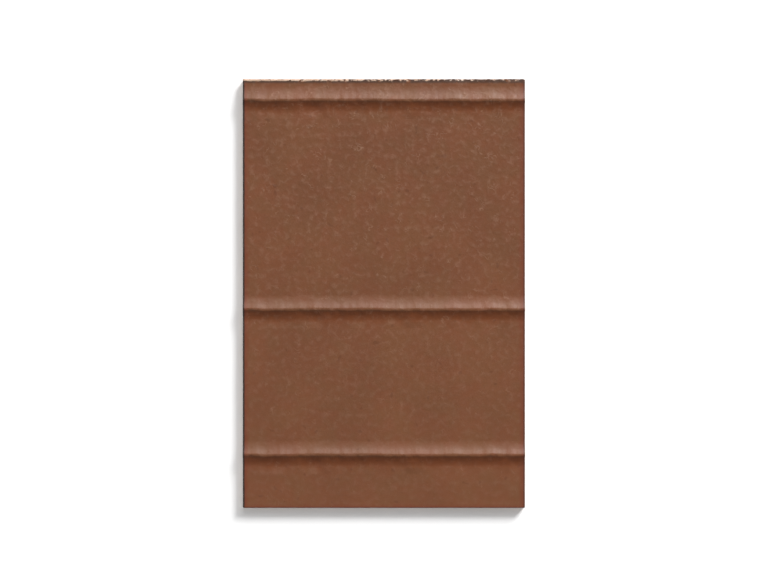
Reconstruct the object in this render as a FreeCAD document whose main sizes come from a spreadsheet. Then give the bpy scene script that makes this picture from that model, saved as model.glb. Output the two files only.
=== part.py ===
"""Ridged ceramic wall tile, in millimetres.

One pressed and fired piece. It lies on its back: +Z is the outward normal of
the front face, +Y points to the edge that is uppermost on the wall, and the
origin is the middle of the back. Three ridges cross the front from side to
side. Each one rises gently from the field above it, turns over a small round
crest and drops back more steeply to the field below. At the adhesive bed the
back has a frame and narrow ribs, with shallow recesses pressed between them.
"""
import FreeCAD, Part
import math
import os

import Sketcher

NODE = "ridged_tile"
SHEET = "Dimensions"
CLOSE = 1e-4

DIMENSIONS = (
    ("tile_width", 250.0, "side to side, along X"),
    ("tile_length", 380.0, "lower edge to upper edge, along Y"),
    ("field_thickness", 8.5, "back to the flat field of the front"),
    ("ridge_height", 3.1, "crest above the field"),
    ("crest_radius", 3.2, "round top of a ridge"),
    ("upper_flank_angle", 23.0, "slope of a ridge's upper side, in degrees"),
    ("upper_foot_radius", 22.0, "hollow run-in from the field above"),
    ("lower_flank_angle", 32.0, "slope of a ridge's lower side, in degrees"),
    ("lower_foot_radius", 16.5, "hollow run-out to the field below"),
    ("ridge_1_from_top", 18.3, "upper edge to the first crest"),
    ("ridge_2_from_top", 203.7, "upper edge to the second crest"),
    ("ridge_3_from_top", 332.6, "upper edge to the third crest"),
    ("corner_radius", 1.0, "the four corners, seen from the front"),
    ("arris_radius", 0.9, "rounding round the front face"),
    ("back_chamfer", 0.5, "bevel round the back"),
    ("recess_count", 14, "recesses across the back"),
    ("recess_depth", 0.8, "depth of a recess"),
    ("recess_draft", 15.0, "slope of a recess's walls, in degrees"),
    ("recess_corner_radius", 2.0, "corners of a recess"),
    ("rib_width", 3.2, "rib left between two recesses"),
    ("back_border", 8.0, "frame left round the recesses"),
)
RIDGES = ("ridge_1", "ridge_2", "ridge_3")


# The driving dimensions


def make_sheet(doc):
    """One row for each dimension: its name, its value and what it measures."""
    sheet = doc.addObject("Spreadsheet::Sheet", SHEET)
    for row, (alias, value, meaning) in enumerate(DIMENSIONS, start=1):
        sheet.set(f"A{row}", alias)
        sheet.set(f"B{row}", str(value))
        sheet.set(f"C{row}", meaning)
        sheet.setAlias(f"B{row}", alias)
    doc.recompute()
    return sheet


# Sketching


def origin_feature(body, role):
    return next(item for item in body.Origin.OriginFeatures if item.Role == role)


def add_sketch(body, name, plane):
    sketch = body.newObject("Sketcher::SketchObject", name)
    sketch.AttachmentSupport = [(origin_feature(body, plane), "")]
    sketch.MapMode = "FlatFace"
    return sketch


def add_line(sketch, start, end):
    segment = Part.LineSegment(FreeCAD.Vector(*start), FreeCAD.Vector(*end))
    return sketch.addGeometry(segment)


def add_arc(sketch, centre, radius, first, last):
    """An arc that runs anticlockwise from one direction to another, in degrees."""
    circle = Part.Circle(FreeCAD.Vector(*centre), FreeCAD.Vector(0, 0, 1), radius)
    return sketch.addGeometry(Part.ArcOfCircle(circle, math.radians(first), math.radians(last)))


def constrain(sketch, *arguments):
    return sketch.addConstraint(Sketcher.Constraint(*arguments))


def bind(sketch, name, expression, *arguments):
    """A dimension with a name of its own, driven by the sheet."""
    sketch.renameConstraint(constrain(sketch, *arguments), name)
    sketch.setExpression(f"Constraints.{name}", expression)


# The long section, in (Y, Z)


class Flank:
    """One side of a ridge, as distances out from the crest and up from the field."""

    def __init__(self, sheet, side):
        self.angle = sheet.get(f"{side}_flank_angle")
        self.foot_radius = sheet.get(f"{side}_foot_radius")
        crest_radius = sheet.get("crest_radius")
        height = sheet.get("ridge_height")
        sine = math.sin(math.radians(self.angle))
        cosine = math.cos(math.radians(self.angle))
        rounded = crest_radius + self.foot_radius
        straight = (height - rounded * (1 - cosine)) / sine
        self.run = rounded * sine + straight * cosine
        self.crest_end = (crest_radius * sine, height - crest_radius * (1 - cosine))
        self.foot_end = (self.run - self.foot_radius * sine, self.foot_radius * (1 - cosine))


def draw_ridge(sketch, sheet, ridge):
    """A ridge's hollow feet, straight flanks and round crest, smoothly joined."""
    field_z = sheet.get("field_thickness")
    crest_y = sheet.get("tile_length") / 2 - sheet.get(f"{ridge}_from_top")
    crest_radius = sheet.get("crest_radius")
    centre_z = field_z + sheet.get("ridge_height") - crest_radius
    upper = Flank(sheet, "upper")
    lower = Flank(sheet, "lower")

    def above(out, up):
        return (crest_y + out, field_z + up, 0)

    def below(out, up):
        return (crest_y - out, field_z + up, 0)

    upper_foot = add_arc(
        sketch, above(upper.run, upper.foot_radius), upper.foot_radius, 270 - upper.angle, 270
    )
    upper_flank = add_line(sketch, above(*upper.foot_end), above(*upper.crest_end))
    crest = add_arc(
        sketch, (crest_y, centre_z, 0), crest_radius, 90 - upper.angle, 90 + lower.angle
    )
    lower_flank = add_line(sketch, below(*lower.foot_end), below(*lower.crest_end))
    lower_foot = add_arc(
        sketch, below(lower.run, lower.foot_radius), lower.foot_radius, 270, 270 + lower.angle
    )
    constrain(sketch, "Tangent", upper_foot, 1, upper_flank, 1)
    constrain(sketch, "Tangent", upper_flank, 2, crest, 1)
    constrain(sketch, "Tangent", crest, 2, lower_flank, 2)
    constrain(sketch, "Tangent", lower_flank, 1, lower_foot, 2)

    for name, arc, radius in (
        ("upper_foot_radius", upper_foot, upper.foot_radius),
        ("lower_foot_radius", lower_foot, lower.foot_radius),
        ("crest_radius", crest, crest_radius),
    ):
        bind(sketch, f"{ridge}_{name}", f"{SHEET}.{name}", "Radius", arc, radius)
    for name, flank, expression, angle in (
        ("upper_slope", upper_flank, f"180 - {SHEET}.upper_flank_angle", 180 - upper.angle),
        ("lower_slope", lower_flank, f"{SHEET}.lower_flank_angle", lower.angle),
    ):
        bind(sketch, f"{ridge}_{name}", expression, "Angle", flank, math.radians(angle))
    bind(
        sketch,
        f"{ridge}_crest_centre",
        f"{SHEET}.field_thickness + {SHEET}.ridge_height - {SHEET}.crest_radius",
        *("DistanceY", -1, 1, crest, 3, centre_z),
    )
    return upper_foot, crest, lower_foot


def draw_section(body, sheet):
    """The closed outline: the back, the two ends, the fields and the ridges."""
    sketch = add_sketch(body, "LongSection", "YZ_Plane")
    end_y = sheet.get("tile_length") / 2
    field_z = sheet.get("field_thickness")

    back = add_line(sketch, (-end_y, 0, 0), (end_y, 0, 0))
    upper_end = add_line(sketch, (end_y, 0, 0), (end_y, field_z, 0))
    constrain(sketch, "Horizontal", back)
    constrain(sketch, "Symmetric", back, 1, back, 2, -1, 1)
    constrain(sketch, "Vertical", upper_end)
    constrain(sketch, "Coincident", back, 2, upper_end, 1)
    bind(sketch, "length", f"{SHEET}.tile_length", "DistanceX", back, 1, back, 2, 2 * end_y)

    last, last_end, join = upper_end, 2, "Coincident"
    for ridge in RIDGES:
        upper_foot, crest, lower_foot = draw_ridge(sketch, sheet, ridge)
        start = sketch.getPoint(last, last_end)
        foot = sketch.getPoint(upper_foot, 2)
        field = add_line(sketch, start, foot)
        constrain(sketch, "Horizontal", field)
        constrain(sketch, join, last, last_end, field, 1)
        constrain(sketch, "Tangent", field, 2, upper_foot, 2)
        bind(sketch, f"{ridge}_field", f"{SHEET}.field_thickness", "DistanceY", -1, 1, field, 2, field_z)
        bind(
            sketch,
            f"{ridge}_place",
            f"{SHEET}.{ridge}_from_top",
            *("DistanceX", crest, 3, upper_end, 1, sheet.get(f"{ridge}_from_top")),
        )
        last, last_end, join = lower_foot, 1, "Tangent"

    field = add_line(sketch, sketch.getPoint(last, last_end), (-end_y, field_z, 0))
    lower_end = add_line(sketch, (-end_y, field_z, 0), (-end_y, 0, 0))
    constrain(sketch, "Horizontal", field)
    constrain(sketch, "Tangent", last, last_end, field, 1)
    constrain(sketch, "Vertical", lower_end)
    constrain(sketch, "Coincident", field, 2, lower_end, 1)
    constrain(sketch, "Coincident", lower_end, 2, back, 1)
    bind(sketch, "last_field", f"{SHEET}.field_thickness", "DistanceY", -1, 1, field, 1, field_z)
    return sketch


# The features, in the order that they are made


def pad_section(doc, body, section):
    """The section carried across the full width."""
    pad = body.newObject("PartDesign::Pad", "Blank")
    pad.Profile = section
    pad.SideType = "Symmetric"
    pad.setExpression("Length", f"{SHEET}.tile_width")
    doc.recompute()
    return pad


def edge_names(feature, wanted):
    return [f"Edge{i}" for i, edge in enumerate(feature.Shape.Edges, start=1) if wanted(edge)]


def is_upright(edge):
    """An upright edge at a corner of the tile."""
    box = edge.BoundBox
    return box.XLength < CLOSE and box.YLength < CLOSE


def dress(doc, body, kind, name, base, wanted, size, cell):
    """A fillet or chamfer on the chosen edges of the feature before it."""
    feature = body.newObject(f"PartDesign::{kind}", name)
    feature.Base = (base, edge_names(base, wanted))
    feature.setExpression(size, f"{SHEET}.{cell}")
    doc.recompute()
    return feature


def round_edges(doc, body, sheet, blank):
    """Rounds the corners and the front's rim, and bevels the back's rim."""
    half_width = sheet.get("tile_width") / 2
    half_length = sheet.get("tile_length") / 2
    field_z = sheet.get("field_thickness")
    corner = sheet.get("corner_radius")

    def is_on_rim(edge):
        middle = edge.BoundBox.Center
        at_side = abs(middle.x) > half_width - corner
        at_end = abs(middle.y) > half_length - corner
        return at_side or at_end

    def is_front_rim(edge):
        return is_on_rim(edge) and edge.BoundBox.ZMin > field_z - CLOSE

    def is_back_rim(edge):
        return is_on_rim(edge) and edge.BoundBox.ZMax < CLOSE

    corners = dress(doc, body, "Fillet", "Corners", blank, is_upright, "Radius", "corner_radius")
    arris = dress(doc, body, "Fillet", "FrontArris", corners, is_front_rim, "Radius", "arris_radius")
    return dress(doc, body, "Chamfer", "BackBevel", arris, is_back_rim, "Size", "back_chamfer")


def draw_recess(body, sheet):
    """The first recess of the back, at the -X side, as a rounded rectangle."""
    sketch = add_sketch(body, "RecessOutline", "XY_Plane")
    border = sheet.get("back_border")
    count = sheet.get("recess_count")
    radius = sheet.get("recess_corner_radius")
    width = (sheet.get("tile_width") - 2 * border - (count - 1) * sheet.get("rib_width")) / count
    left = -sheet.get("tile_width") / 2 + border
    right = left + width
    top = sheet.get("tile_length") / 2 - border

    upper = add_line(sketch, (left + radius, top, 0), (right - radius, top, 0))
    right_side = add_line(sketch, (right, top - radius, 0), (right, -top + radius, 0))
    lower = add_line(sketch, (right - radius, -top, 0), (left + radius, -top, 0))
    left_side = add_line(sketch, (left, -top + radius, 0), (left, top - radius, 0))
    sides = (upper, right_side, lower, left_side)
    arcs = (
        add_arc(sketch, (right - radius, top - radius, 0), radius, 0, 90),
        add_arc(sketch, (right - radius, -top + radius, 0), radius, 270, 360),
        add_arc(sketch, (left + radius, -top + radius, 0), radius, 180, 270),
        add_arc(sketch, (left + radius, top - radius, 0), radius, 90, 180),
    )
    for number, arc in enumerate(arcs):
        constrain(sketch, "Tangent", sides[number], 2, arc, 2)
        constrain(sketch, "Tangent", arc, 1, sides[(number + 1) % len(sides)], 1)
        bind(sketch, f"corner_{number}", f"{SHEET}.recess_corner_radius", "Radius", arc, radius)
    for side in (upper, lower):
        constrain(sketch, "Horizontal", side)
    for side in (left_side, right_side):
        constrain(sketch, "Vertical", side)
    for name, ends in (("up", (-1, 1, upper, 1)), ("down", (lower, 1, -1, 1))):
        bind(sketch, name, f"{SHEET}.tile_length / 2 - {SHEET}.back_border", "DistanceY", *ends, top)
    bind(
        sketch,
        "from_middle",
        f"{SHEET}.tile_width / 2 - {SHEET}.back_border",
        *("DistanceX", left_side, 1, -1, 1, -left),
    )
    bind(
        sketch,
        "width",
        f"({SHEET}.tile_width - 2 * {SHEET}.back_border"
        f" - ({SHEET}.recess_count - 1) * {SHEET}.rib_width) / {SHEET}.recess_count",
        *("DistanceX", left_side, 1, right_side, 1, width),
    )
    return sketch


def press_recesses(doc, body, outline):
    """One recess pressed into the back, and its row across the width."""
    pocket = body.newObject("PartDesign::Pocket", "Recess")
    pocket.Profile = outline
    pocket.Reversed = True
    pocket.setExpression("Length", f"{SHEET}.recess_depth")
    pocket.setExpression("TaperAngle", f"-{SHEET}.recess_draft")
    doc.recompute()

    row = body.newObject("PartDesign::LinearPattern", "RecessRow")
    row.Originals = [pocket]
    row.Direction = (origin_feature(body, "X_Axis"), [""])
    row.setExpression("Occurrences", f"{SHEET}.recess_count")
    row.setExpression(
        "Length",
        f"(1 - 1 / {SHEET}.recess_count)"
        f" * ({SHEET}.tile_width - 2 * {SHEET}.back_border + {SHEET}.rib_width)",
    )
    body.Tip = row
    doc.recompute()
    return row


def make_tile(doc, sheet):
    body = doc.addObject("PartDesign::Body", "Tile")
    body.Label = NODE
    blank = pad_section(doc, body, draw_section(body, sheet))
    rounded = round_edges(doc, body, sheet, blank)
    row = press_recesses(doc, body, draw_recess(body, sheet))
    check_lost_volume(sheet, rounded, row)
    return body


# Checks and export


def check_lost_volume(sheet, before, after):
    """The recesses must take away about their own plan area times their depth."""
    border = sheet.get("back_border")
    ribs = (sheet.get("recess_count") - 1) * sheet.get("rib_width")
    across = sheet.get("tile_width") - 2 * border - ribs
    along = sheet.get("tile_length") - 2 * border
    expected = across * along * sheet.get("recess_depth")
    lost = before.Shape.Volume - after.Shape.Volume
    print(f"recesses: {lost:.0f} mm3 pressed away, {expected:.0f} mm3 if their walls were upright")
    if not 0.9 * expected < lost < expected:
        raise RuntimeError("the recesses in the back didn't cut as they should")


def check_document(doc):
    for item in doc.Objects:
        if {"Invalid", "Error"} & set(item.State):
            raise RuntimeError(f"{item.Label} failed: {item.State}")
        if item.isDerivedFrom("Sketcher::SketchObject") and not item.FullyConstrained:
            raise RuntimeError(f"{item.Label} isn't fully constrained")


def export(body):
    shape = body.Shape
    if shape.isNull() or not shape.isValid() or len(shape.Solids) != 1:
        raise RuntimeError(f"{body.Label} isn't one valid solid")
    os.makedirs("parts", exist_ok=True)
    shape.exportStep(f"parts/{body.Label}.step")
    box = shape.optimalBoundingBox()
    size = f"{box.XLength:.2f} x {box.YLength:.2f} x {box.ZLength:.2f} mm"
    print(f"{body.Label}: {size}, {shape.Volume / 1000:.1f} cm3, {len(shape.Faces)} faces")


def main():
    doc = FreeCAD.newDocument("RidgedWallTile")
    sheet = make_sheet(doc)
    tile = make_tile(doc, sheet)
    doc.recompute()
    check_document(doc)
    export(tile)


main()
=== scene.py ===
import math

import bmesh
import bpy
import numpy as np
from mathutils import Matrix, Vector


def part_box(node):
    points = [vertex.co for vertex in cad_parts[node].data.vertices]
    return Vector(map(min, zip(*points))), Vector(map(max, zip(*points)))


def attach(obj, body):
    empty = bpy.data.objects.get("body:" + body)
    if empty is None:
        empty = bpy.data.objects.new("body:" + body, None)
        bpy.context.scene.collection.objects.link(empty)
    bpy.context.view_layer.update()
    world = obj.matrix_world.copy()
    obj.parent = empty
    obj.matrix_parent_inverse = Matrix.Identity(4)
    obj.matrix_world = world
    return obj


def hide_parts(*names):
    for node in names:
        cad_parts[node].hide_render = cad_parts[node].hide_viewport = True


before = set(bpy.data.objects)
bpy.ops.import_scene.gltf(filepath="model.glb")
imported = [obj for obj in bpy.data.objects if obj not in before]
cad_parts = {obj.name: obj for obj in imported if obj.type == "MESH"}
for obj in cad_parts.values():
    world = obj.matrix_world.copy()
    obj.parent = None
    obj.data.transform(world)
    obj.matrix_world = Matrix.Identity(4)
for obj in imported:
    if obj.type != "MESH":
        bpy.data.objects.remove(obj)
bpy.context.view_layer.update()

# The slab. One piece of pale clay, pressed in a steel die and fired. The die gives it the
# square sides, the three ridges across the front and the shallow recesses in the back.
# All sizes are in metres, and the slab lies on its back.

SLAB_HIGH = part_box("ridged_tile")[1]
HALF_WIDTH = SLAB_HIGH.x
HALF_LENGTH = SLAB_HIGH.y
FIELD_Z = 0.0085
RIDGE_HEIGHT = SLAB_HIGH.z - FIELD_Z
CRESTS = [SLAB_HIGH.y - down for down in (0.0183, 0.2037, 0.3326)]
CREST_RADIUS = 0.0032
UPPER_SLOPE = math.radians(23)
UPPER_HOLLOW = 0.022
LOWER_SLOPE = math.radians(32)
LOWER_HOLLOW = 0.0165

CORNER_RADIUS = 0.0010
ARRIS_RADIUS = 0.0009
BACK_BEVEL = 0.0005
SIDE_LEVELS = (0.0062, 0.0048, 0.0034, 0.0020, BACK_BEVEL)
ACROSS_STEP = 0.00122
ALONG_STEP = 0.00122
MOST_CUTS = 50
TINY = 1e-6

BACK_BORDER = 0.008
RIB_WIDTH = 0.0032
RECESSES = 14
RECESS_DEPTH = 0.0008
RECESS_DRAFT = math.radians(15)
RECESS_CORNER = 0.0020
ROUND_STEPS = 9
EDGE_STEPS = 4


def pick(kind, wanted):
    """In edit mode, selects only the corners, edges or faces that pass a test."""
    bpy.ops.mesh.select_mode(type=kind)
    bpy.ops.mesh.select_all(action="DESELECT")
    mesh = bmesh.from_edit_mesh(bpy.context.object.data)
    for part in {"VERT": mesh.verts, "EDGE": mesh.edges, "FACE": mesh.faces}[kind]:
        if wanted(part):
            part.select_set(True)
    mesh.select_flush_mode()
    bmesh.update_edit_mesh(bpy.context.object.data)


def runs_along(edge, axis):
    """True for an edge that runs along one axis, 0 for X and 1 for Y."""
    step = edge.verts[1].co - edge.verts[0].co
    return abs(step[axis]) > 0.999 * step.length


def share_out(axis, step):
    """Cuts the edges that run along an axis into pieces of about one step."""
    mesh = bmesh.from_edit_mesh(bpy.context.object.data)
    longest = max(edge.calc_length() for edge in mesh.edges if runs_along(edge, axis))
    while longest > 1.5 * step:
        pick("EDGE", lambda edge: runs_along(edge, axis) and edge.calc_length() > longest - TINY)
        bpy.ops.mesh.subdivide(number_cuts=min(round(longest / step) - 1, MOST_CUTS))
        mesh = bmesh.from_edit_mesh(bpy.context.object.data)
        longest = max(edge.calc_length() for edge in mesh.edges if runs_along(edge, axis))


def round_line(y, radius, turn, segments):
    """Rounds the line across the front at y, where the surface turns by an angle."""
    pick("EDGE", lambda edge: all(abs(corner.co.y - y) < TINY for corner in edge.verts))
    bpy.ops.mesh.bevel(
        offset=radius * math.tan(turn / 2), segments=segments, affect="EDGES", clamp_overlap=False
    )


def raise_ridge(crest):
    """Cuts a ridge's three lines, lifts the middle one and rounds all three."""
    turn = UPPER_SLOPE + LOWER_SLOPE
    lean = (UPPER_SLOPE - LOWER_SLOPE) / 2
    to_apex = CREST_RADIUS / math.cos(turn / 2)
    apex = crest + to_apex * math.sin(lean)
    lift = RIDGE_HEIGHT - CREST_RADIUS + to_apex * math.cos(lean)
    upper_foot = apex + lift / math.tan(UPPER_SLOPE)
    lower_foot = apex - lift / math.tan(LOWER_SLOPE)
    for y in (upper_foot, apex, lower_foot):
        bpy.ops.mesh.select_all(action="SELECT")
        bpy.ops.mesh.bisect(plane_co=(0, y, FIELD_Z), plane_no=(0, 1, 0))
    pick("VERT", lambda corner: abs(corner.co.y - apex) < TINY)
    bpy.ops.transform.translate(value=(0, 0, lift))
    round_line(upper_foot, UPPER_HOLLOW, UPPER_SLOPE, ROUND_STEPS)
    round_line(apex, CREST_RADIUS, turn, ROUND_STEPS)
    round_line(lower_foot, LOWER_HOLLOW, LOWER_SLOPE, ROUND_STEPS)


def draw_sides_down():
    """Draws the front's rim down to the back in level steps, the last one bevelled in."""
    pick("EDGE", lambda edge: edge.is_boundary)
    for level in SIDE_LEVELS:
        bpy.ops.mesh.extrude_region_move(TRANSFORM_OT_translate={"value": (0, 0, -RIDGE_HEIGHT)})
        bpy.ops.transform.resize(value=(1, 1, 0), center_override=(0, 0, level))
    bpy.ops.mesh.extrude_region_move(TRANSFORM_OT_translate={"value": (0, 0, -BACK_BEVEL)})
    bpy.ops.transform.resize(
        value=(1 - BACK_BEVEL / HALF_WIDTH, 1 - BACK_BEVEL / HALF_LENGTH, 1),
        center_override=(0, 0, 0),
    )


def at_corner(corner):
    near = 1.5 * BACK_BEVEL
    return HALF_WIDTH - abs(corner.co.x) < near and HALF_LENGTH - abs(corner.co.y) < near


def is_corner_edge(edge):
    """An edge that runs down one of the slab's four corners."""
    return all(at_corner(corner) for corner in edge.verts) and edge.calc_length() > TINY


def is_rim_edge(edge):
    """An edge where the front meets a side."""
    if len(edge.link_faces) != 2:
        return False
    tilts = sorted(abs(face.normal.z) for face in edge.link_faces)
    return tilts[0] < 0.1 and tilts[1] > 0.6 and edge.verts[0].co.z > FIELD_Z - TINY


def press_back():
    """Adds the ribbed panel of the back and joins it to the sides by a flat frame."""
    bpy.ops.mesh.select_mode(type="FACE")
    bpy.ops.mesh.select_all(action="DESELECT")
    bpy.ops.mesh.primitive_plane_add(size=2, location=(0, 0, 0))
    inside = BACK_BORDER - RIB_WIDTH / 2
    bpy.ops.transform.resize(
        value=(HALF_WIDTH - inside, HALF_LENGTH - inside, 1), center_override=(0, 0, 0)
    )
    bpy.ops.mesh.flip_normals()

    def on_panel(face):
        return max(abs(corner.co.z) for corner in face.verts) < TINY

    pitch = 2 * (HALF_WIDTH - inside) / RECESSES
    for number in range(1, RECESSES):
        pick("FACE", on_panel)
        line = number * pitch - HALF_WIDTH + inside
        bpy.ops.mesh.bisect(plane_co=(line, 0, 0), plane_no=(1, 0, 0))
    pick("FACE", on_panel)
    bpy.ops.mesh.inset(thickness=RIB_WIDTH / 2, use_individual=True)
    bpy.ops.mesh.inset(
        thickness=RECESS_DEPTH * math.tan(RECESS_DRAFT), depth=-RECESS_DEPTH, use_individual=True
    )

    def is_recess_corner(edge):
        on_frame, on_floor = sorted(edge.verts, key=lambda corner: corner.co.z)
        at_rim = max(abs(on_frame.co.x) - HALF_WIDTH, abs(on_frame.co.y) - HALF_LENGTH) > -inside
        return not at_rim and on_frame.co.z < TINY < on_floor.co.z < RECESS_DEPTH + TINY

    pick("EDGE", is_recess_corner)
    bpy.ops.mesh.bevel(
        offset=RECESS_CORNER, segments=EDGE_STEPS, affect="EDGES", clamp_overlap=False
    )
    pick("EDGE", lambda edge: edge.is_boundary)
    bpy.ops.mesh.fill(use_beauty=True)


bpy.ops.object.select_all(action="DESELECT")
bpy.ops.mesh.primitive_plane_add(size=2, location=(0, 0, FIELD_Z), enter_editmode=True)
tile = bpy.context.object
tile.name = "tile"
bpy.ops.transform.resize(value=(HALF_WIDTH, HALF_LENGTH, 1), center_override=(0, 0, FIELD_Z))
bpy.ops.object.mode_set(mode="OBJECT")
bpy.ops.object.transform_apply(location=True, rotation=True, scale=True)
bpy.ops.object.mode_set(mode="EDIT")
for crest_y in CRESTS:
    raise_ridge(crest_y)
share_out(1, ALONG_STEP)
share_out(0, ACROSS_STEP)
draw_sides_down()
pick("EDGE", is_corner_edge)
bpy.ops.mesh.bevel(offset=CORNER_RADIUS, segments=EDGE_STEPS, affect="EDGES", clamp_overlap=False)
pick("EDGE", is_rim_edge)
bpy.ops.mesh.bevel(offset=ARRIS_RADIUS, segments=EDGE_STEPS, affect="EDGES", clamp_overlap=False)
press_back()
bpy.ops.mesh.select_all(action="SELECT")
bpy.ops.mesh.normals_make_consistent(inside=False)
bpy.ops.object.mode_set(mode="OBJECT")


# The press leaves nothing perfectly straight. The ridges waver and swell a little, their
# lower lips are nicked, the front is grained like sand or hide, and the upper rim is rough.
# One tool cut all three ridges, so they share the same waver.

RIM_FADE = 0.004
corners = np.empty(len(tile.data.vertices) * 3)
tile.data.vertices.foreach_get("co", corners)
X, Y, Z = corners.reshape(-1, 3).T
FROM_SIDE = HALF_WIDTH - abs(X)
FROM_RIM = np.minimum(FROM_SIDE, HALF_LENGTH - abs(Y))
FRONT = (Z > FIELD_Z - TINY) * np.clip((FROM_RIM - ARRIS_RADIUS) / RIM_FADE, 0, 1)


def weigh(name, weights):
    """Makes a vertex group from one weight for each corner of the mesh."""
    group = tile.vertex_groups.new(name=name)
    for number in np.flatnonzero(weights > 0.001):
        group.add([int(number)], float(weights[number]), "REPLACE")


def window(distance, reach, fade):
    """1 within reach of a line and 0 past the fade beyond it."""
    return np.clip((reach + fade - abs(distance)) / fade, 0, 1)


def ruffle(name, direction, strength, size, weights, place=None, depth=1, contrast=1.0):
    """Moves the mesh by clouds of one size, where the weights let it."""
    weigh(name, weights)
    clouds = bpy.data.textures.new(name, "CLOUDS")
    clouds.noise_scale = size
    clouds.noise_depth = depth
    clouds.contrast = contrast
    modifier = tile.modifiers.new(name, "DISPLACE")
    modifier.texture = clouds
    modifier.texture_coords = "OBJECT" if place else "LOCAL"
    modifier.texture_coords_object = place
    modifier.direction = direction
    modifier.strength = strength
    modifier.mid_level = 0.5
    modifier.vertex_group = name
    bpy.ops.object.modifier_apply(modifier=name)
    tile.vertex_groups.remove(tile.vertex_groups[name])


ruffle("undulation", "Z", 0.00040, 0.045, FRONT)
for crest_y in CRESTS:
    bpy.ops.object.empty_add(location=(0, crest_y, FIELD_Z))
    tool = bpy.context.object
    tool.scale = (1, 5, 5)
    bpy.context.view_layer.objects.active = tile
    down = Y - crest_y
    ruffle("waver", "Y", 0.0016, 0.022, FRONT * window(down, 0.010, 0.006), tool)
    ruffle("nicks", "Y", 0.0015, 0.0065, FRONT * window(down + 0.0022, 0.0016, 0.0018), tool, 2)
    ruffle("swell", "Z", 0.0008, 0.011, FRONT * window(down - 0.001, 0.002, 0.006), tool, 2)
    ruffle("run_out", "Z", 0.0015, 0.014, FRONT * window(down + 0.0090, 0.0025, 0.0055), tool)
    bpy.data.objects.remove(tool)
coarse = np.clip(0.55 + 0.45 * Y / HALF_LENGTH, 0, 1)
ruffle("grain", "Z", 0.00022, 0.0044, FRONT * coarse, None, 2)
upper_rim = window(Y - HALF_LENGTH, 0.0004, 0.0012) * (Z > FIELD_Z - 0.0016)
ruffle("rough_rim", "NORMAL", 0.0009, 0.0024, upper_rim, None, 2, 1.5)
bpy.ops.object.shade_smooth_by_angle(angle=math.radians(38))

# The glaze and the clay. A satin brown glaze covers the front, runs over the rim and stops
# part way down the sides. Below it, and on the back, the pale clay is bare.


def put(tree, kind, inputs, **settings):
    """Adds a node, makes its settings, and sets or joins its inputs."""
    made = tree.nodes.new(kind)
    for name, value in settings.items():
        setattr(made, name, value)
    for name, value in inputs.items():
        if isinstance(value, bpy.types.NodeSocket):
            tree.links.new(value, made.inputs[name])
        else:
            made.inputs[name].default_value = value
    return made


def cloud(tree, place, size, detail=2.0, rough=0.5, twist=0.0):
    """Noise about 0.5, with lumps of a size in metres."""
    inputs = {"Vector": place, "Scale": 1 / size, "Detail": detail, "Roughness": rough}
    inputs["Distortion"] = twist
    return put(tree, "ShaderNodeTexNoise", inputs).outputs["Fac"]


def ease(tree, value, low, high, start=0.0, end=1.0):
    """Goes smoothly from start to end as the value goes from low to high."""
    inputs = {"Value": value, "From Min": low, "From Max": high, "To Min": start, "To Max": end}
    made = put(tree, "ShaderNodeMapRange", inputs, interpolation_type="SMOOTHSTEP")
    return made.outputs["Result"]


def calc(tree, operation, *values):
    inputs = dict(enumerate(values))
    return put(tree, "ShaderNodeMath", inputs, operation=operation).outputs["Value"]


def tint(tree, share, first, second, kind="MIX"):
    """Mixes two colours."""
    inputs = {0: share, 6: first, 7: second}
    return put(tree, "ShaderNodeMix", inputs, data_type="RGBA", blend_type=kind).outputs[2]


def mingle(tree, share, first, second):
    """Mixes two plain values."""
    return put(tree, "ShaderNodeMix", {0: share, 2: first, 3: second}).outputs[0]


def make_clay_group():
    """Bare fired clay: pinkish cream, fine as sand, with a few dark grains and dusty patches."""
    tree = bpy.data.node_groups.new("bare fired clay", "ShaderNodeTree")
    tree.interface.new_socket(name="Place", in_out="INPUT", socket_type="NodeSocketVector")
    tree.interface.new_socket(name="Dust", in_out="INPUT", socket_type="NodeSocketFloat")
    tree.interface.new_socket(name="Color", in_out="OUTPUT", socket_type="NodeSocketColor")
    tree.interface.new_socket(name="Roughness", in_out="OUTPUT", socket_type="NodeSocketFloat")
    tree.interface.new_socket(name="Height", in_out="OUTPUT", socket_type="NodeSocketFloat")
    given = tree.nodes.new("NodeGroupInput").outputs
    place = given["Place"]

    patches = ease(tree, cloud(tree, place, 0.050, 3), 0.35, 0.65)
    colour = tint(tree, patches, (0.39, 0.25, 0.17, 1), (0.50, 0.35, 0.26, 1))
    sand = cloud(tree, place, 0.0007, 3, 0.6)
    colour = tint(tree, ease(tree, sand, 0.60, 0.75, 0, 0.35), colour, (0.62, 0.51, 0.42, 1))
    iron = cloud(tree, place, 0.0016, 1)
    colour = tint(tree, ease(tree, iron, 0.73, 0.80, 0, 0.7), colour, (0.16, 0.07, 0.04, 1))
    dust = cloud(tree, place, 0.012, 4, 0.6)
    dusty = ease(tree, dust, 0.50, 0.70, 0, given["Dust"])
    colour = tint(tree, dusty, colour, (0.62, 0.55, 0.48, 1))

    out = tree.nodes.new("NodeGroupOutput")
    tree.links.new(colour, out.inputs["Color"])
    tree.links.new(ease(tree, dust, 0.3, 0.7, 0.82, 0.97), out.inputs["Roughness"])
    rough = calc(tree, "ADD", calc(tree, "MULTIPLY", sand, 0.35), cloud(tree, place, 0.0030, 2))
    tree.links.new(rough, out.inputs["Height"])
    return tree


clay_group = make_clay_group()


def start_material(name):
    """An empty material with its shader and its place on the slab."""
    material = bpy.data.materials.new(name)
    material.use_nodes = True
    tree = material.node_tree
    shader = tree.nodes["Principled BSDF"]
    place = tree.nodes.new("ShaderNodeTexCoord").outputs["Object"]
    return material, tree, shader, place


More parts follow.
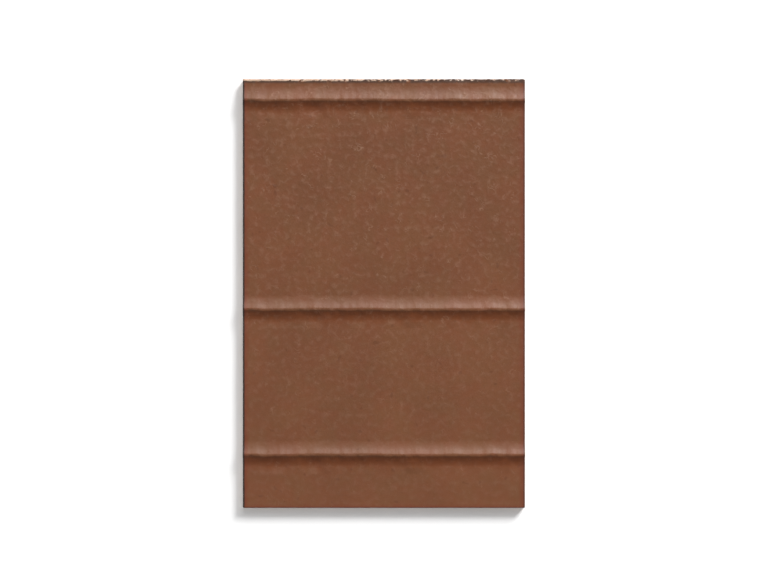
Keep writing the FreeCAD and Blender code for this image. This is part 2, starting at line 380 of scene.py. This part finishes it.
def make_back_material():
    """The back: bare clay, with kiln wash rubbed along the frame and the ribs."""
    material, tree, shader, place = start_material("bare clay back")
    clay = put(tree, "ShaderNodeGroup", {"Place": place, "Dust": 0.35}, node_tree=clay_group)
    height = put(tree, "ShaderNodeSeparateXYZ", {"Vector": place}).outputs["Z"]
    drawn = put(tree, "ShaderNodeMapping", {"Vector": place, "Scale": (1, 0.12, 1)})
    streaks = cloud(tree, drawn.outputs["Vector"], 0.0022, 4, 0.65)
    patchy = cloud(tree, place, 0.030, 2)
    worn = calc(tree, "ADD", streaks, calc(tree, "MULTIPLY", patchy, 0.6))
    on_ribs = ease(tree, height, 0.00030, 0.00005)
    wash = calc(tree, "MULTIPLY", ease(tree, worn, 0.72, 0.92, 0, 0.75), on_ribs)
    colour = tint(tree, wash, clay.outputs["Color"], (0.74, 0.71, 0.66, 1))
    tree.links.new(colour, shader.inputs["Base Color"])
    tree.links.new(clay.outputs["Roughness"], shader.inputs["Roughness"])
    relief = calc(tree, "ADD", clay.outputs["Height"], calc(tree, "MULTIPLY", wash, 0.4))
    bump = put(tree, "ShaderNodeBump", {"Height": relief, "Distance": 0.00025})
    tree.links.new(bump.outputs["Normal"], shader.inputs["Normal"])
    return material


def brown_glaze(tree, place, where):
    """The glaze away from the edges: slow drifts of tone, a little lighter towards the bottom,
    and a darker, redder band below each ridge that is part pooled glaze and part painted shade.
    """
    hue = ease(tree, cloud(tree, place, 0.016, 2), 0.35, 0.65)
    colour = tint(tree, hue, (0.143, 0.0465, 0.0165, 1), (0.137, 0.0492, 0.0172, 1))
    tone_drift_and_painted_light = ease(tree, cloud(tree, place, 0.060, 3), 0.3, 0.7, 0.925, 1.045)
    # Painted light: the glaze is made up to 4.5% lighter towards the bottom end, which evens out
    # the lamps' stronger light near the top.
    tone_drift_and_painted_light = calc(tree, "ADD", tone_drift_and_painted_light, ease(tree, where["Y"], HALF_LENGTH, -HALF_LENGTH, 0, 0.045))
    grey = put(tree, "ShaderNodeCombineColor", {0: tone_drift_and_painted_light, 1: tone_drift_and_painted_light, 2: tone_drift_and_painted_light}).outputs[0]
    colour = tint(tree, 1.0, colour, grey, "MULTIPLY")

    # Below each ridge the glaze is painted darker and redder. Part of this is glaze pooled in the
    # hollow, and part is painted shade where the ridge's shadow falls.
    lumps = calc(tree, "MULTIPLY", cloud(tree, place, 0.0090, 3, 0.6), 0.012)
    pool_and_painted_shade = 0.0
    for crest in CRESTS:
        below = calc(tree, "SUBTRACT", crest, where["Y"])
        near = ease(tree, below, 0.0010, 0.0030)
        far = ease(tree, calc(tree, "ADD", below, lumps), 0.0220, 0.0110)
        pool_and_painted_shade = calc(tree, "ADD", pool_and_painted_shade, calc(tree, "MULTIPLY", near, far))
    return tint(tree, calc(tree, "MULTIPLY", pool_and_painted_shade, 0.75), colour, (0.135, 0.0300, 0.0035, 1))


def speckle(tree, place, coarse, pebble, fibre, colour):
    """Pale grains, pale fibres and dark pinholes over the glaze."""
    lift = calc(tree, "MULTIPLY", ease(tree, pebble, 0.50, 0.80, 0, 0.20), coarse)
    colour = tint(tree, lift, colour, (0.30, 0.16, 0.10, 1))
    fibre_lift = calc(tree, "MULTIPLY", calc(tree, "MULTIPLY", fibre, coarse), 0.22)
    colour = tint(tree, fibre_lift, colour, (0.36, 0.21, 0.14, 1))
    pinhole = ease(tree, cloud(tree, place, 0.0052, 0), 0.77, 0.84)
    return tint(tree, calc(tree, "MULTIPLY", pinhole, 0.28), colour, (0.070, 0.018, 0.004, 1))


def mark_edges(tree, where, ragged, bead_edge, colour):
    """Redder glaze where it runs thin, painted shade as a dark line down the sides, and a dark
    bead at the top.
    """
    from_side = calc(tree, "SUBTRACT", HALF_WIDTH, calc(tree, "ABSOLUTE", where["X"]))
    from_bottom = calc(tree, "ADD", where["Y"], HALF_LENGTH)
    from_edge = calc(tree, "MINIMUM", from_side, calc(tree, "ADD", from_bottom, 0.0020))
    thin_edge = calc(tree, "ADD", from_edge, calc(tree, "MULTIPLY", ragged, 0.004))
    thin = ease(tree, thin_edge, 0.0085, 0.0035)
    colour = tint(tree, calc(tree, "MULTIPLY", thin, 0.8), colour, (0.142, 0.0310, 0.0110, 1))

    # The dark line down the sides is painted shade on the arris, darkest on the left, the side
    # turned away from the lamp.
    on_arris = ease(tree, where["Z"], FIELD_Z - 0.0018, FIELD_Z - 0.0006)
    shade_on_left = ease(tree, where["X"], 0.01, -0.01, 0.45, 0.95)
    rim_shade_share = calc(tree, "MULTIPLY", shade_on_left, on_arris)
    rim_shade_edge = calc(tree, "ADD", from_side, calc(tree, "MULTIPLY", ragged, 0.0010))
    painted_rim_shade = calc(tree, "MULTIPLY", ease(tree, rim_shade_edge, 0.0027, 0.0015), rim_shade_share)
    colour = tint(tree, painted_rim_shade, colour, (0.012, 0.006, 0.004, 1))

    unbroken = ease(tree, ragged, 0.32, 0.48)
    bead = calc(tree, "MULTIPLY", ease(tree, bead_edge, 0.0056, 0.0032), unbroken)
    bead = calc(tree, "MULTIPLY", bead, on_arris)
    return tint(tree, calc(tree, "MULTIPLY", bead, 0.75), colour, (0.035, 0.020, 0.014, 1))


def find_glazed(tree, place, where, ragged, bead_edge):
    """1 where glaze covers the clay, and 0 in the chips and below the end of its run."""
    to_left = calc(tree, "MULTIPLY", where["X"], -0.8)
    chip_shape = calc(tree, "ADD", cloud(tree, place, 0.0045, 3, 0.6), to_left)
    at_top = ease(tree, bead_edge, 0.0028, 0.0022)
    chip = calc(tree, "MULTIPLY", ease(tree, chip_shape, 0.47, 0.53), at_top)
    chip_low = calc(tree, "ADD", where["Z"], calc(tree, "MULTIPLY", ragged, 0.0012))
    above = ease(tree, chip_low, FIELD_Z - 0.0013, FIELD_Z - 0.0009)
    chip = calc(tree, "MULTIPLY", chip, above)
    drip = cloud(tree, place, 0.010, 3, 0.55)
    overrun = calc(tree, "SUBTRACT", where["Z"], calc(tree, "MULTIPLY", drip, 0.006))
    covered = ease(tree, overrun, 0.0026, 0.0030)
    return calc(tree, "MULTIPLY", covered, calc(tree, "SUBTRACT", 1.0, chip))


def make_front_material():
    """The front and the sides: satin brown glaze, worn or run thin towards the bare clay."""
    material, tree, shader, place = start_material("satin brown glaze")
    clay = put(tree, "ShaderNodeGroup", {"Place": place, "Dust": 0.35}, node_tree=clay_group)
    where = put(tree, "ShaderNodeSeparateXYZ", {"Vector": place}).outputs
    coarse = ease(tree, where["Y"], -HALF_LENGTH, HALF_LENGTH, 0.35, 1.0)
    pebble = cloud(tree, place, 0.0046, 2, 0.45, 0.4)
    winding = calc(tree, "SUBTRACT", cloud(tree, place, 0.0080, 1, 0.5, 1.2), 0.5)
    here = ease(tree, cloud(tree, place, 0.0090, 1), 0.56, 0.66)
    line = ease(tree, calc(tree, "ABSOLUTE", winding), 0.026, 0.005)
    fibre = calc(tree, "MULTIPLY", line, here)
    ragged = cloud(tree, place, 0.006, 3, 0.6)
    from_top = calc(tree, "SUBTRACT", HALF_LENGTH, where["Y"])
    bead_edge = calc(tree, "ADD", from_top, calc(tree, "MULTIPLY", ragged, 0.0016))

    colour = brown_glaze(tree, place, where)
    colour = speckle(tree, place, coarse, pebble, fibre, colour)
    colour = mark_edges(tree, where, ragged, bead_edge, colour)
    glazed = find_glazed(tree, place, where, ragged, bead_edge)
    colour = tint(tree, glazed, clay.outputs["Color"], colour)
    tree.links.new(colour, shader.inputs["Base Color"])

    satin = ease(tree, pebble, 0.3, 0.7, 0.40, 0.50)
    roughness = mingle(tree, glazed, clay.outputs["Roughness"], satin)
    tree.links.new(roughness, shader.inputs["Roughness"])

    fine = cloud(tree, place, 0.0012, 2, 0.6)
    grain = calc(tree, "ADD", pebble, calc(tree, "MULTIPLY", fine, 0.18))
    grain = calc(tree, "ADD", grain, calc(tree, "MULTIPLY", fibre, 0.25))
    grain = calc(tree, "ADD", calc(tree, "MULTIPLY", grain, coarse), 0.8)
    relief = mingle(tree, glazed, clay.outputs["Height"], grain)
    bump = put(tree, "ShaderNodeBump", {"Height": relief, "Distance": 0.00016})
    tree.links.new(bump.outputs["Normal"], shader.inputs["Normal"])
    return material


tile.data.materials.append(make_front_material())
tile.data.materials.append(make_back_material())
for face in tile.data.polygons:
    in_recess = max(Z[list(face.vertices)]) < RECESS_DEPTH + TINY
    face.material_index = int(face.normal.z < -0.5 or in_recess)

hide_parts("ridged_tile")
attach(tile, "root")

# The table it lies on, the light and the camera. A white table, a strong soft lamp at the
# upper right, weaker ones beyond the upper edge, at the left and overhead, and even light
# from all round.

bpy.ops.object.select_all(action="DESELECT")
bpy.ops.mesh.primitive_plane_add(size=12, location=(0, 0, -0.0001))
table = bpy.context.object
table.name = "table"
paper = bpy.data.materials.new("white table")
paper.use_nodes = True
paper_shader = paper.node_tree.nodes["Principled BSDF"]
paper_shader.inputs["Base Color"].default_value = (0.95, 0.95, 0.95, 1)
paper_shader.inputs["Roughness"].default_value = 0.9
table.data.materials.append(paper)

LAMPS = (
    # name, direction in degrees from +Y towards +X, tilt from upright, distance, size, watts
    ("lamp", 37, 62, 7.0, 3.20, 755),
    ("window", 0, 62, 8.0, 4.30, 100),
    ("fill", -100, 55, 5.0, 2.50, 75),
    ("overhead", 15, 38, 8.0, 4.00, 96),
)
for name, turned, tilted, distance, size, watts in LAMPS:
    turned, tilted = math.radians(turned), math.radians(tilted)
    flat = math.sin(tilted)
    towards = Vector((flat * math.sin(turned), flat * math.cos(turned), math.cos(tilted)))
    light = bpy.data.lights.new(name, "AREA")
    light.shape = "DISK"
    light.size = size
    light.energy = watts
    light_object = bpy.data.objects.new(name, light)
    light_object.location = towards * distance
    light_object.rotation_euler = towards.to_track_quat("Z", "Y").to_euler()
    bpy.context.scene.collection.objects.link(light_object)

world = bpy.data.worlds.new("even light")
world.use_nodes = True
world.node_tree.nodes["Background"].inputs["Color"].default_value = (1, 1, 1, 1)
world.node_tree.nodes["Background"].inputs["Strength"].default_value = 0.25
bpy.context.scene.world = world

VIEW_WIDTH = 0.6803
VIEW_CENTRE = (0.0001, 0.0009)
camera = bpy.data.cameras.new("camera")
camera.lens = 135
camera_object = bpy.data.objects.new("camera", camera)
camera_height = FIELD_Z + VIEW_WIDTH * camera.lens / camera.sensor_width
camera_object.location = (*VIEW_CENTRE, camera_height)
bpy.context.scene.collection.objects.link(camera_object)
bpy.context.scene.camera = camera_object
bpy.context.scene.view_settings.view_transform = "Standard"
